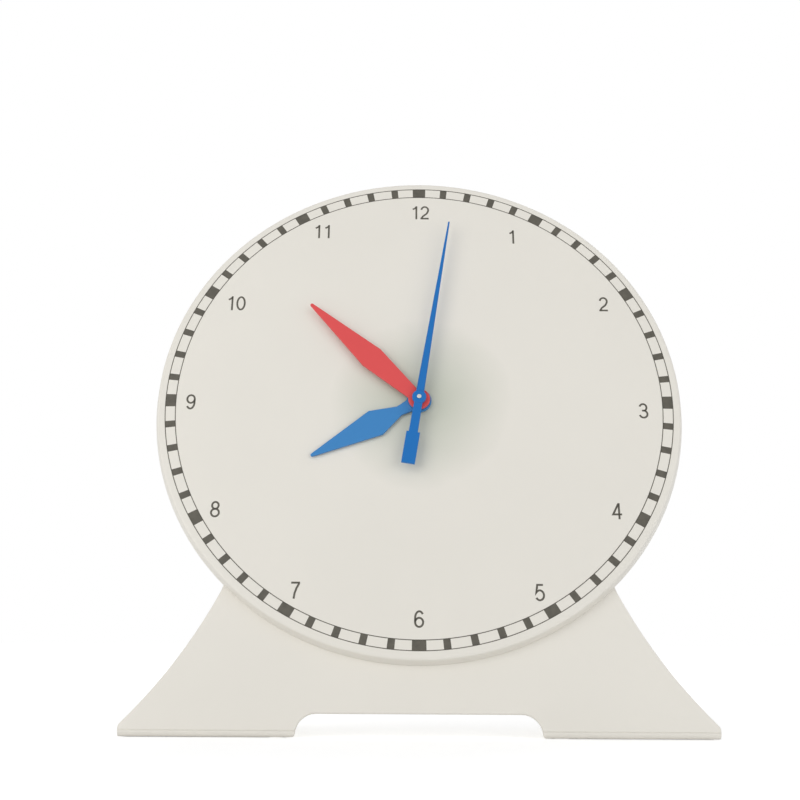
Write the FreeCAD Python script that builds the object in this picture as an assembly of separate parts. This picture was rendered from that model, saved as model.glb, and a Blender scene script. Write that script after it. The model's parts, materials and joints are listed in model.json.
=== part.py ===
"""Geared teaching clock: a round dial on a leaning stand, with three hands geared together.

Every piece is first made in the dial's own frame, in millimetres. The hand axis is the Y axis, y = 0 is the
front face of the dial and +Y runs to the rear. +X is to the right seen from the front, and +Z runs up the
face to twelve. The dial then leans back, and the origin moves to the middle of the footprint, on the floor.
"""

import FreeCAD
import Part
import os
from math import acos, asin, atan2, cos, degrees, hypot, pi, radians, sin, tan

V = FreeCAD.Vector

# Dial
LEAN_DEG = 15.0
DIAL_RADIUS = 140.0
DIAL_FACE = 2.5
DIAL_DEPTH = 6.0
DIAL_RIM_WALL = 2.4
DIAL_RIM_FLARE = 1.0
DIAL_EDGE_ROUND = 1.8
EASE_STEPS = 2
DIAL_RIB_WALL = 1.8
DIAL_RING_RIB_GAP = 5.6
DIAL_SPOKE_RIBS = 12
DIAL_HUB_RADIUS = 11.0

# Stand: a front panel with a rib round its back, two foot plates and their gussets
PANEL_THICKNESS = 3.0
PANEL_RIB_INSET = 4.0
PANEL_RIB_WALL = 2.2
PANEL_RIB_DEPTH = 3.0
PANEL_TOP_GAP = 10.0
PANEL_TOP_HALF_WIDTH = 82.0
PANEL_TOP_ROUND = 9.0
DIAL_TO_FLOOR = 36.3
LEG_WAIST_HALF_WIDTH = 100.1
LEG_WAIST_DROP = 103.0
LEG_FOOT_HALF_WIDTH = 146.0
LEG_TIP_HEIGHT = 5.9
LEG_SIDE_SAG = 3.3
LEG_TIP_ROUND = 2.2
LEG_CORNER_ROUND = 1.2
ARCH_HALF_WIDTH = 60.0
ARCH_HEIGHT = 12.0
ARCH_ROUND = 10.0
ARCH_LIP_ROUND = 3.0
BEND_ROUND = 2.7
FOOT_THICKNESS = 3.0
FOOT_LENGTH = 112.0
FOOT_INNER_FRONT = 72.0
FOOT_INNER_REAR = 80.0
FOOT_OUTER_REAR = 122.0
FOOT_REAR_ROUND = 12.0
FOOT_EDGE_INSET = 3.0
FOOT_STRAIGHT = 9.0
GUSSET_WALL = 2.6
GUSSET_NOSE = 3.0
GUSSET_SAG = 11.0
GUSSET_INNER_X = 84.0
GUSSET_INNER_RISE = 74.0
GUSSET_INNER_RUN = 92.0
GUSSET_OUTER_X = 113.0
GUSSET_OUTER_RISE = 42.0
GUSSET_OUTER_RUN = 78.0

# Screws, all of one size
SCREW_RADIUS = 1.5
SCREW_HEAD_RADIUS = 2.9
SCREW_HEAD_HEIGHT = 1.7
SCREW_CLEARANCE = 0.25
SCREW_BITE = 3.0
SCREW_TIP_GAP = 0.3
PILOT_CLEARANCE = 0.03
BOSS_WALL = 2.6
STAND_SCREW_INSET = 28.0
STAND_SCREW_EDGE = 14.0

# Gear case
CASE_CLEARANCE = 1.8
CASE_CORNER_ROUND = 8.0
CASE_WALL = 2.0
CASE_FLANGE = 9.5
CASE_FLANGE_THICKNESS = 2.0
CASE_EDGE_BEVEL = 0.9
CASE_BASE_THICKNESS = 2.5
CASE_SCREW_INSET = 5.0

# Gear train: teeth, modules and profile shifts
PRESSURE_ANGLE = radians(20.0)
BACKLASH = 0.12
PINION_FLANK_STEPS = 2
WHEEL_FLANK_STEPS = 1
ADDENDUM_SHARE = 1.0
PINION_ADDENDUM_SHARE = 0.9
DEDENDUM_SHARE = 1.25
SECOND_PINION_TEETH = 10
THIRD_WHEEL_TEETH = 75
THIRD_PINION_TEETH = 10
CENTRE_WHEEL_TEETH = 80
CANNON_PINION_TEETH = 15
MOTION_WHEEL_TEETH = 45
MOTION_PINION_TEETH = 12
HOUR_WHEEL_TEETH = 48
TEN_TOOTH_SHIFT_SHARE = 0.4
CANNON_SHIFT_SHARE = 0.2
MOTION_SHIFT_SHARE = 0.3
THIRD_CENTRES = 34.0
MOTION_CENTRES = 30.0
WHEEL_THICKNESS = 2.5
PINION_OVERHANG = 0.4
LEVEL_GAP = 1.1
WHEEL_HUB_WALL = 2.4
WHEEL_RIM = 3.4
WHEEL_WINDOWS = 5
WINDOW_WEB = 4.0
WINDOW_STEPS = 3
TOP_FLOAT = 1.0
HOUR_WHEEL_FLOAT = 0.3
WASHER_FLOAT = 0.1

# Arbors and pipes
RUN_CLEARANCE = 0.06
SECOND_ARBOR_RADIUS = 1.2
MINUTE_PIPE_WALL = 1.35
HOUR_PIPE_WALL = 1.7
THIRD_ARBOR_RADIUS = 1.5
POST_RADIUS = 1.5
POST_END = 0.9
CLIP_THICKNESS = 0.5
CLIP_WALL = 2.0
CLIP_GAP_DEG = 70.0
BEARING_WALL = 2.4
BEARING_DEPTH = 1.8
BEARING_FLOOR = 0.6
ARBOR_END_GAP = 0.3
WASHER_THICKNESS = 0.4
WASHER_WALL = 2.2

# Hands: a hub and a blade each, lengths from the axis
HAND_STACK_GAP = 0.5
HAND_HUB_THICKNESS = 1.6
HAND_THICKNESS = 1.2
HAND_SETBACK = 0.3
HAND_TIP_HALF_WIDTH = 0.9
PIPE_PROUD = 0.2
HOUR_HAND_GAP = 0.8
HOUR_HUB_RADIUS = 6.6
HOUR_HAND_LENGTH = 65.2
HOUR_HAND_HALF_WIDTH = 7.8
HOUR_HAND_WIDEST = 26.4
HOUR_NECK_HALF_WIDTH = 2.75
HOUR_NECK = 12.0
HOUR_ROOT_HALF_WIDTH = 4.2
HOUR_HAND_DEG = 240.5
MINUTE_HUB_RADIUS = 5.8
MINUTE_HAND_LENGTH = 82.8
MINUTE_HAND_HALF_WIDTH = 6.8
MINUTE_HAND_WIDEST = 35.5
MINUTE_ROOT_HALF_WIDTH = 3.0
MINUTE_HAND_DEG = 314.0
SECOND_HAND_LENGTH = 111.0
SECOND_HAND_DEG = 8.75
SECOND_HUB_RADIUS = 3.75
SECOND_HUB_THICKNESS = 2.0
SECOND_HAND_THICKNESS = 1.5
SECOND_ROOT_HALF_WIDTH = 2.2
SECOND_TIP_HALF_WIDTH = 0.45
TAIL_HALF_WIDTH = 2.4
TAIL_LENGTH = 38.5
COUNTERWEIGHT_HALF_WIDTH = 3.6
COUNTERWEIGHT_START = 20.5

# Setting knob
KNOB_GAP = 0.8
KNOB_RADIUS = 15.0
KNOB_DEPTH = 12.0
KNOB_FLUTES = 10
KNOB_FLUTE_RADIUS = 2.6
KNOB_FLUTE_DEPTH = 1.0
KNOB_NECK_RADIUS = 6.0
KNOB_NECK_DEPTH = 2.0
KNOB_DISH_RADIUS = 9.0
KNOB_DISH_DEPTH = 3.0
KNOB_BORE_FLOOR = 2.6

# Cuts run past the faces they pass through by this much
OVERRUN = 1.0

# Two places closer than this are one place
SAME_PLACE = 0.01

# Gear sizes that follow


def module_of(centres, teeth_a, teeth_b):
    """Module that makes two gears mesh at a centre distance."""
    return 2 * centres / (teeth_a + teeth_b)


def root_radius(module, teeth, shift_share):
    return module * (teeth / 2 - DEDENDUM_SHARE + shift_share)


def tip_radius(module, teeth, shift_share):
    return module * (teeth / 2 + ADDENDUM_SHARE + shift_share)


SECOND_MODULE = module_of(THIRD_CENTRES, SECOND_PINION_TEETH, THIRD_WHEEL_TEETH)
CENTRE_MODULE = module_of(THIRD_CENTRES, THIRD_PINION_TEETH, CENTRE_WHEEL_TEETH)
CANNON_MODULE = module_of(MOTION_CENTRES, CANNON_PINION_TEETH, MOTION_WHEEL_TEETH)
HOUR_MODULE = module_of(MOTION_CENTRES, MOTION_PINION_TEETH, HOUR_WHEEL_TEETH)
THIRD_WHEEL_RADIUS = tip_radius(SECOND_MODULE, THIRD_WHEEL_TEETH, -TEN_TOOTH_SHIFT_SHARE)
CENTRE_WHEEL_RADIUS = tip_radius(CENTRE_MODULE, CENTRE_WHEEL_TEETH, -TEN_TOOTH_SHIFT_SHARE)
MOTION_WHEEL_RADIUS = tip_radius(CANNON_MODULE, MOTION_WHEEL_TEETH, -CANNON_SHIFT_SHARE)
HOUR_WHEEL_RADIUS = tip_radius(HOUR_MODULE, HOUR_WHEEL_TEETH, -MOTION_SHIFT_SHARE)

# The case keeps its clearance from the widest wheel on each side
CASE_SPARE = CASE_CLEARANCE + CASE_WALL
CASE_LEFT = max(MOTION_CENTRES + MOTION_WHEEL_RADIUS, HOUR_WHEEL_RADIUS) + CASE_SPARE
CASE_RIGHT = THIRD_CENTRES + THIRD_WHEEL_RADIUS + CASE_SPARE
WIDEST_WHEEL = max(THIRD_WHEEL_RADIUS, CENTRE_WHEEL_RADIUS, MOTION_WHEEL_RADIUS, HOUR_WHEEL_RADIUS)
CASE_HALF_HEIGHT = WIDEST_WHEEL + CASE_SPARE

# Places on the stand that follow, measured down from the hand axis
PANEL_TOP = CASE_HALF_HEIGHT + CASE_FLANGE + PANEL_TOP_GAP
LEG_REACH = DIAL_RADIUS + DIAL_TO_FLOOR
LEG_FOOT_DROP = LEG_REACH - LEG_TIP_HEIGHT
ARCH_DROP = LEG_REACH - ARCH_HEIGHT

# Depths that follow, front to rear
LEAN = radians(LEAN_DEG)
BASE_FRONT = DIAL_DEPTH
BASE_REAR = BASE_FRONT + CASE_BASE_THICKNESS
HOUR_LEVEL = BASE_REAR + LEVEL_GAP
MOTION_LEVEL = HOUR_LEVEL + WHEEL_THICKNESS + LEVEL_GAP
CENTRE_LEVEL = MOTION_LEVEL + WHEEL_THICKNESS + POST_END + LEVEL_GAP
THIRD_LEVEL = CENTRE_LEVEL + WHEEL_THICKNESS + LEVEL_GAP
TRAIN_REAR = THIRD_LEVEL + WHEEL_THICKNESS + PINION_OVERHANG
CASE_INSIDE = TRAIN_REAR + BEARING_DEPTH + TOP_FLOAT
CASE_REAR = CASE_INSIDE + CASE_WALL
WASHER_FRONT = CASE_INSIDE - BEARING_DEPTH - WASHER_FLOAT - WASHER_THICKNESS
KNOB_FRONT = CASE_REAR + KNOB_GAP
KNOB_REAR = KNOB_FRONT + KNOB_NECK_DEPTH + KNOB_DEPTH

MINUTE_BORE = SECOND_ARBOR_RADIUS + RUN_CLEARANCE
MINUTE_PIPE_RADIUS = MINUTE_BORE + MINUTE_PIPE_WALL
HOUR_BORE = MINUTE_PIPE_RADIUS + RUN_CLEARANCE
HOUR_PIPE_RADIUS = HOUR_BORE + HOUR_PIPE_WALL
DIAL_BORE = HOUR_PIPE_RADIUS + RUN_CLEARANCE

HOUR_HUB_REAR = -HOUR_HAND_GAP
HOUR_HUB_FRONT = HOUR_HUB_REAR - HAND_HUB_THICKNESS
HOUR_PIPE_FRONT = HOUR_HUB_FRONT - PIPE_PROUD
MINUTE_HUB_REAR = HOUR_PIPE_FRONT - HAND_STACK_GAP
MINUTE_HUB_FRONT = MINUTE_HUB_REAR - HAND_HUB_THICKNESS
MINUTE_PIPE_FRONT = MINUTE_HUB_FRONT - PIPE_PROUD
SECOND_HUB_REAR = MINUTE_PIPE_FRONT - HAND_STACK_GAP
SECOND_HUB_FRONT = SECOND_HUB_REAR - SECOND_HUB_THICKNESS
SECOND_ARBOR_FRONT = SECOND_HUB_FRONT - PIPE_PROUD

# The third arbor stands right of the hand axis seen from the front, and the motion post left of it
THIRD_AT = (THIRD_CENTRES, 0.0)
MOTION_AT = (-MOTION_CENTRES, 0.0)
CENTRE_AT = (0.0, 0.0)


def face_point(x, z, y=0.0):
    """A point of the dial's own frame."""
    return V(x, y, z)


def polar(radius, angle):
    """A point on the dial plane at an angle in radians from +X towards +Z."""
    return face_point(radius * cos(angle), radius * sin(angle))


def segment(a, b):
    return Part.LineSegment(a, b).toShape()


def bow(a, middle, b):
    return Part.Arc(a, middle, b).toShape()


def slab(edges, front, rear):
    """A closed outline in the dial plane, made solid from one depth to another."""
    face = Part.Face(Part.Wire(edges))
    face.translate(V(0, front, 0))
    return face.extrude(V(0, rear - front, 0))


def rod(radius, front, rear, at=CENTRE_AT):
    """A round bar along the hand axis direction."""
    return Part.makeCylinder(radius, rear - front, V(at[0], front, at[1]), V(0, 1, 0))


def tube(outer, inner, front, rear, at=CENTRE_AT):
    return rod(outer, front, rear, at).cut(rod(inner, front - OVERRUN, rear + OVERRUN, at))


def eased_disc(radius, flare, front, rear, ease):
    """A disc whose front edge is eased by bevels on a quarter circle, and whose side flares to the rear."""
    turns = [k * pi / 2 / EASE_STEPS for k in range(EASE_STEPS + 1)]
    profile = [face_point(0.0, 0.0, front)]
    profile += [face_point(radius - ease + ease * sin(a), 0.0, front + ease - ease * cos(a)) for a in turns]
    profile += [face_point(radius + flare, 0.0, rear), face_point(0.0, 0.0, rear)]
    return Part.Face(Part.Wire(polygon(profile))).revolve(V(0, 0, 0), V(0, 1, 0), 360)


def polygon(points):
    """Straight edges round a closed list of points."""
    return [segment(a, b) for a, b in zip(points, points[1:] + points[:1])]


def rounded_rectangle(left, right, half_height, corner):
    """Edges of an upright rectangle with round corners, lying in the dial plane."""
    centres = [
        (right - corner, half_height - corner, 0),
        (left + corner, half_height - corner, 1),
        (left + corner, corner - half_height, 2),
        (right - corner, corner - half_height, 3),
    ]
    arcs = []
    for x, z, quarter in centres:
        start = quarter * pi / 2
        points = [face_point(x, z) + polar(corner, start + k * pi / 4) for k in range(3)]
        arcs.append(bow(*points))
    edges = []
    for k, arc in enumerate(arcs):
        edges.append(arc)
        edges.append(segment(arc.lastVertex().Point, arcs[(k + 1) % 4].firstVertex().Point))
    return edges


def fillet_corners(points, radii):
    """Edges round a closed polygon with tangent arcs at its corners. A radius of 0 keeps a corner sharp."""
    count = len(points)
    starts, middles, ends = [], [], []
    for k in range(count):
        here = points[k]
        before = (points[k - 1] - here).normalize()
        after = (points[(k + 1) % count] - here).normalize()
        half = before.getAngle(after) / 2
        reach = radii[k] / tan(half) if radii[k] else 0.0
        starts.append(here + before * reach)
        ends.append(here + after * reach)
        inward = (before + after).normalize()
        middles.append(here + inward * (radii[k] / sin(half) - radii[k]) if radii[k] else here)
    edges = []
    for k in range(count):
        if radii[k]:
            edges.append(bow(starts[k], middles[k], ends[k]))
        following = starts[(k + 1) % count]
        if (following - ends[k]).Length > Part.Precision.confusion():
            edges.append(segment(ends[k], following))
    return edges


def joined(shapes):
    """One solid from pieces that overlap or share faces."""
    result = shapes[0]
    if len(shapes) > 1:
        result = result.multiFuse(shapes[1:]).removeSplitter()
    return result


# Gears


def involute(angle):
    return tan(angle) - angle


def gear_outline(module, teeth, shift_share, addendum_share, steps):
    """Closed tooth outline about the origin, one tooth centred on +X, its flanks in straight steps."""
    pitch = module * teeth / 2
    base = pitch * cos(PRESSURE_ANGLE)
    tip = pitch + module * (addendum_share + shift_share)
    root = root_radius(module, teeth, shift_share)
    thickness = module * (pi / 2 + 2 * shift_share * tan(PRESSURE_ANGLE)) - BACKLASH / 2

    def half_angle(radius):
        at_radius = acos(min(1.0, base / radius))
        return thickness / (2 * pitch) + involute(PRESSURE_ANGLE) - involute(at_radius)

    flank = [root + (tip - root) * k / steps for k in range(steps + 1)]
    points = []
    for k in range(teeth):
        centre = k * 2 * pi / teeth
        points += [polar(r, centre - half_angle(r)) for r in flank]
        points += [polar(r, centre + half_angle(r)) for r in reversed(flank)]
    return polygon(points)


def gear(outline, front, rear, at, tooth_angle):
    """A solid gear with a tooth centred at tooth_angle, seen in the dial plane."""
    body = slab(outline, front, rear)
    body.rotate(V(0, 0, 0), V(0, 1, 0), -degrees(tooth_angle))
    body.translate(V(at[0], 0, at[1]))
    return body


def pinion_between(module, teeth, shift_share, front, rear, at, towards):
    """A pinion at one centre with a tooth pointing at another centre."""
    outline = gear_outline(module, teeth, shift_share, PINION_ADDENDUM_SHARE, PINION_FLANK_STEPS)
    return gear(outline, front, rear, at, atan2(towards[1] - at[1], towards[0] - at[0]))


def wheel_between(module, teeth, shift_share, front, rear, at, towards):
    """A wheel at one centre with a gap facing the pinion at another centre."""
    outline = gear_outline(module, teeth, -shift_share, ADDENDUM_SHARE, WHEEL_FLANK_STEPS)
    return gear(outline, front, rear, at, atan2(towards[1] - at[1], towards[0] - at[0]) + pi / teeth)


def windows(outer, inner, front, rear, at):
    """Straight-sided openings between a wheel's hub and its rim, with webs of even width between them."""
    outer_half = pi / WHEEL_WINDOWS - asin(WINDOW_WEB / 2 / outer)
    inner_half = pi / WHEEL_WINDOWS - asin(WINDOW_WEB / 2 / inner)
    openings = []
    for k in range(WHEEL_WINDOWS):
        middle = k * 2 * pi / WHEEL_WINDOWS
        turns = [middle + outer_half * (2 * j / WINDOW_STEPS - 1) for j in range(WINDOW_STEPS + 1)]
        points = [polar(outer, turn) for turn in turns]
        points += [polar(inner, middle + inner_half), polar(inner, middle - inner_half)]
        opening = slab(polygon(points), front - OVERRUN, rear + OVERRUN)
        opening.translate(V(at[0], 0, at[1]))
        openings.append(opening)
    return openings


# Fasteners


def screw(head_front, tip, at):
    """A screw driven in from behind, so that its tip points forward."""
    head = rod(SCREW_HEAD_RADIUS, head_front, head_front + SCREW_HEAD_HEIGHT, at)
    return joined([head, rod(SCREW_RADIUS, tip, head_front, at)])


def stand_screw_places():
    """In from the panel's two upper corners, and one low down in the middle, inside the dial's edge."""
    x = PANEL_TOP_HALF_WIDTH - STAND_SCREW_EDGE
    z = -PANEL_TOP - STAND_SCREW_EDGE
    return [(-x, z), (0.0, STAND_SCREW_INSET - DIAL_RADIUS), (x, z)]


def case_screw_places():
    """In the flange's two lower corners, and over the middle of its upper edge."""
    left = -(CASE_LEFT + CASE_FLANGE - CASE_SCREW_INSET)
    right = CASE_RIGHT + CASE_FLANGE - CASE_SCREW_INSET
    top = CASE_HALF_HEIGHT + CASE_FLANGE - CASE_SCREW_INSET
    return [(left, -top), ((left + right) / 2, top), (right, -top)]


# Dial


def dial_plate():
    """A shallow round tray: face, rim, ribs behind, the hand bearing and the screw blocks."""
    body = eased_disc(DIAL_RADIUS, DIAL_RIM_FLARE, 0.0, DIAL_DEPTH, DIAL_EDGE_ROUND)
    inner_radius = DIAL_RADIUS - DIAL_RIM_WALL
    hollow = rod(inner_radius, DIAL_FACE, DIAL_DEPTH + OVERRUN)
    rib_depth = DIAL_DEPTH - DIAL_FACE
    block_half = SCREW_RADIUS + BOSS_WALL
    ring_inside = max(hypot(x, z) for x, z in case_screw_places()) + block_half + DIAL_RING_RIB_GAP
    spoke_angles = [(k + 1 / 2) * 2 * pi / DIAL_SPOKE_RIBS for k in range(DIAL_SPOKE_RIBS)]
    ring = [slab(polygon([polar(radius, angle) for angle in spoke_angles]), DIAL_FACE, DIAL_DEPTH)
            for radius in (ring_inside + DIAL_RIB_WALL, ring_inside)]
    keep = [rod(DIAL_HUB_RADIUS, DIAL_FACE, DIAL_DEPTH), ring[0].cut(ring[1])]
    for angle in spoke_angles:
        corner = V(ring_inside, DIAL_FACE, -DIAL_RIB_WALL / 2)
        rib_length = inner_radius + OVERRUN - ring_inside
        rib = Part.makeBox(rib_length, rib_depth, DIAL_RIB_WALL, corner)
        rib.rotate(V(0, 0, 0), V(0, 1, 0), degrees(angle))
        keep.append(rib)
    places = stand_screw_places() + case_screw_places()
    for x, z in places:
        corner = V(x - block_half, DIAL_FACE, z - block_half)
        keep.append(Part.makeBox(2 * block_half, rib_depth, 2 * block_half, corner))
    hollow = hollow.cut(keep[0].multiFuse(keep[1:]))
    body = body.cut(hollow)
    floor = DIAL_DEPTH - SCREW_BITE - SCREW_TIP_GAP
    pilots = [rod(SCREW_RADIUS + PILOT_CLEARANCE, floor, DIAL_DEPTH + OVERRUN, at) for at in places]
    bore = rod(DIAL_BORE, -OVERRUN, DIAL_DEPTH + OVERRUN)
    return body.cut(pilots[0].multiFuse(pilots[1:] + [bore])).removeSplitter()


# Stand


def stand_face(reach):
    """The panel seen square on, with sharp corners: flared legs and the arch between them, down to reach."""
    top = face_point(PANEL_TOP_HALF_WIDTH, -PANEL_TOP)
    waist = face_point(LEG_WAIST_HALF_WIDTH, -LEG_WAIST_DROP)
    tip = face_point(LEG_FOOT_HALF_WIDTH, -LEG_FOOT_DROP)
    inward = V(0, 1, 0).cross(tip - waist).normalize()
    middle = (waist + tip) / 2 + inward * LEG_SIDE_SAG
    corner = face_point(LEG_FOOT_HALF_WIDTH, -reach)
    lip = face_point(ARCH_HALF_WIDTH, -reach)
    arch = face_point(ARCH_HALF_WIDTH, -ARCH_DROP)
    right = [
        segment(top, waist),
        bow(waist, middle, tip),
        segment(tip, corner),
        segment(corner, lip),
        segment(lip, arch),
    ]
    left = [edge.mirror(V(0, 0, 0), V(1, 0, 0)) for edge in right]
    across = [segment(face_point(-p.x, p.z), p) for p in (top, arch)]
    return Part.Face(Part.Wire(Part.sortEdges(right + left + across)[0]))


def rounded_at(body, places, radius):
    """Rounds a slab's edges that stand on the dial plane at these places, on both sides of the middle."""
    chosen = []
    for edge in body.Edges:
        ends = [vertex.Point for vertex in edge.Vertexes]
        if len(ends) == 2 and hypot(ends[0].x - ends[1].x, ends[0].z - ends[1].z) < SAME_PLACE:
            if any(hypot(abs(ends[0].x) - x, ends[0].z - z) < SAME_PLACE for x, z in places):
                chosen.append(edge)
    return body.makeFillet(radius, chosen)


def stand_panel():
    """The front panel with its rounded corners, upright."""
    panel = stand_face(LEG_REACH).extrude(V(0, PANEL_THICKNESS, 0))
    panel = rounded_at(panel, [(PANEL_TOP_HALF_WIDTH, -PANEL_TOP)], PANEL_TOP_ROUND)
    panel = rounded_at(panel, [(LEG_FOOT_HALF_WIDTH, -LEG_FOOT_DROP)], LEG_TIP_ROUND)
    panel = rounded_at(panel, [(LEG_FOOT_HALF_WIDTH, -LEG_REACH)], LEG_CORNER_ROUND)
    panel = rounded_at(panel, [(ARCH_HALF_WIDTH, -LEG_REACH)], ARCH_LIP_ROUND)
    panel = rounded_at(panel, [(ARCH_HALF_WIDTH, -ARCH_DROP)], ARCH_ROUND)
    panel.translate(V(0, DIAL_DEPTH, 0))
    return panel


def stand_rib():
    """The rib behind the panel, set in from its edge so that it stays out of sight from the front."""
    sheet = stand_face(LEG_REACH + PANEL_RIB_INSET + PANEL_RIB_WALL + FOOT_THICKNESS)
    outer = sheet.makeOffset2D(-PANEL_RIB_INSET)
    inner = sheet.makeOffset2D(-PANEL_RIB_INSET - PANEL_RIB_WALL)
    rib = outer.cut(inner).extrude(V(0, PANEL_RIB_DEPTH, 0))
    rib.translate(V(0, DIAL_DEPTH + PANEL_THICKNESS, 0))
    return rib


def lean(shape):
    """Leans a piece back about the hand centre."""
    shape.rotate(V(0, 0, 0), V(1, 0, 0), -LEAN_DEG)
    return shape


def leaned(point):
    """Where a point of the dial's frame lies once the dial leans back."""
    return V(
        point.x,
        point.y * cos(LEAN) + point.z * sin(LEAN),
        point.z * cos(LEAN) - point.y * sin(LEAN),
    )


TOE = leaned(face_point(0.0, -LEG_REACH, DIAL_DEPTH))
FLOOR = TOE.z
FOOT_REAR = TOE.y + FOOT_LENGTH


def foot_plates():
    """Both foot plates on the floor, seen from above, behind the legs' front edge."""
    plates = []
    for side in (1, -1):
        front = TOE.y + PANEL_THICKNESS / 2
        corners = [
            V(side * FOOT_INNER_FRONT, front, FLOOR),
            V(side * (LEG_FOOT_HALF_WIDTH - FOOT_EDGE_INSET), front, FLOOR),
            V(side * (LEG_FOOT_HALF_WIDTH - FOOT_EDGE_INSET), TOE.y + FOOT_STRAIGHT, FLOOR),
            V(side * FOOT_OUTER_REAR, FOOT_REAR, FLOOR),
            V(side * FOOT_INNER_REAR, FOOT_REAR, FLOOR),
        ]
        radii = [0.0, 0.0, 0.0, FOOT_REAR_ROUND, FOOT_REAR_ROUND]
        face = Part.Face(Part.Wire(fillet_corners(corners, radii)))
        plates.append(face.extrude(V(0, 0, FOOT_THICKNESS)))
    return plates


def gusset(x, rise, run):
    """A web between the back of a leg and its foot plate, with a hollow curve along its free edge."""
    within_panel = DIAL_DEPTH + PANEL_THICKNESS / 2
    top = leaned(face_point(0.0, rise - LEG_REACH, within_panel))
    low = leaned(face_point(0.0, FOOT_THICKNESS - LEG_REACH, within_panel))
    within_foot = FLOOR + FOOT_THICKNESS / 2
    shoulder = top + V(0, PANEL_THICKNESS + GUSSET_NOSE, 0)
    root = V(0, low.y, within_foot)
    heel = V(0, TOE.y + run, within_foot)
    tip = V(0, TOE.y + run, FLOOR + FOOT_THICKNESS + GUSSET_NOSE)
    chord = tip - shoulder
    hollow = V(0, chord.z, -chord.y).normalize() * GUSSET_SAG
    edges = [
        segment(root, top),
        segment(top, shoulder),
        bow(shoulder, (shoulder + tip) / 2 + hollow, tip),
        segment(tip, heel),
        segment(heel, root),
    ]
    web = Part.Face(Part.Wire(edges)).extrude(V(GUSSET_WALL, 0, 0))
    web.translate(V(x - GUSSET_WALL / 2, 0, 0))
    return web


def toe_trim():
    """What the rounded front edge of the feet takes off the sharp one: the corner less a tangent arc."""
    up = V(0, sin(LEAN), cos(LEAN))
    back = V(0, 1, 0)
    half = up.getAngle(back) / 2
    reach = BEND_ROUND / tan(half)
    inward = (up + back).normalize()
    corner = V(0, TOE.y, FLOOR)
    high = corner + up * reach
    low = corner + back * reach
    middle = corner + inward * (BEND_ROUND / sin(half) - BEND_ROUND)
    outside = [point - inward * OVERRUN for point in (low, corner, high)]
    edges = [bow(high, middle, low), segment(low, outside[0])]
    edges += [segment(a, b) for a, b in zip(outside, outside[1:])]
    edges.append(segment(outside[2], high))
    half_width = LEG_FOOT_HALF_WIDTH + OVERRUN
    trim = Part.Face(Part.Wire(edges)).extrude(V(2 * half_width, 0, 0))
    trim.translate(V(-half_width, 0, 0))
    return trim


def below_floor():
    """Everything under the floor that the leaning panel and its rib could reach."""
    half_width = LEG_FOOT_HALF_WIDTH + OVERRUN
    corner = V(-half_width, TOE.y - FOOT_LENGTH, FLOOR - FOOT_LENGTH)
    return Part.makeBox(2 * half_width, 2 * FOOT_LENGTH, FOOT_LENGTH, corner)


def stand():
    """Front panel, its back rib, the foot plates and the gussets as one moulding."""
    front = DIAL_DEPTH
    rear = front + PANEL_THICKNESS
    leaning = lean(stand_panel().fuse(stand_rib())).cut(below_floor())
    webs = []
    for side in (1, -1):
        webs.append(gusset(side * GUSSET_INNER_X, GUSSET_INNER_RISE, GUSSET_INNER_RUN))
        webs.append(gusset(side * GUSSET_OUTER_X, GUSSET_OUTER_RISE, GUSSET_OUTER_RUN))
    body = joined([leaning] + foot_plates() + webs).cut(toe_trim())
    holes = [lean(rod(SCREW_RADIUS + SCREW_CLEARANCE, front - OVERRUN, rear + OVERRUN, at))
             for at in stand_screw_places()]
    return body.cut(holes[0].multiFuse(holes[1:]))


# Gear case


def flange_outline():
    corner = CASE_CORNER_ROUND + CASE_FLANGE
    half_height = CASE_HALF_HEIGHT + CASE_FLANGE
    return rounded_rectangle(-CASE_LEFT - CASE_FLANGE, CASE_RIGHT + CASE_FLANGE, half_height, corner)


def gear_base():
    """The plate behind the dial that carries the motion post and the third arbor's front bearing."""
    plate = slab(flange_outline(), BASE_FRONT, BASE_REAR)
    boss = rod(THIRD_ARBOR_RADIUS + BEARING_WALL, BASE_REAR, BASE_REAR + BEARING_DEPTH, THIRD_AT)
    body = joined([plate, boss])
    cuts = [rod(SCREW_RADIUS + SCREW_CLEARANCE, BASE_FRONT - OVERRUN, BASE_REAR + OVERRUN, at)
            for at in case_screw_places()]
    cuts.append(rod(HOUR_PIPE_RADIUS + RUN_CLEARANCE, BASE_FRONT - OVERRUN, BASE_REAR + OVERRUN))
    cuts.append(rod(POST_RADIUS, BASE_FRONT - OVERRUN, BASE_REAR + OVERRUN, MOTION_AT))
    bearing_rear = BASE_REAR + BEARING_DEPTH + OVERRUN
    cuts.append(rod(THIRD_ARBOR_RADIUS + RUN_CLEARANCE, BASE_FRONT + BEARING_FLOOR, bearing_rear, THIRD_AT))
    return body.cut(cuts[0].multiFuse(cuts[1:]))


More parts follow.
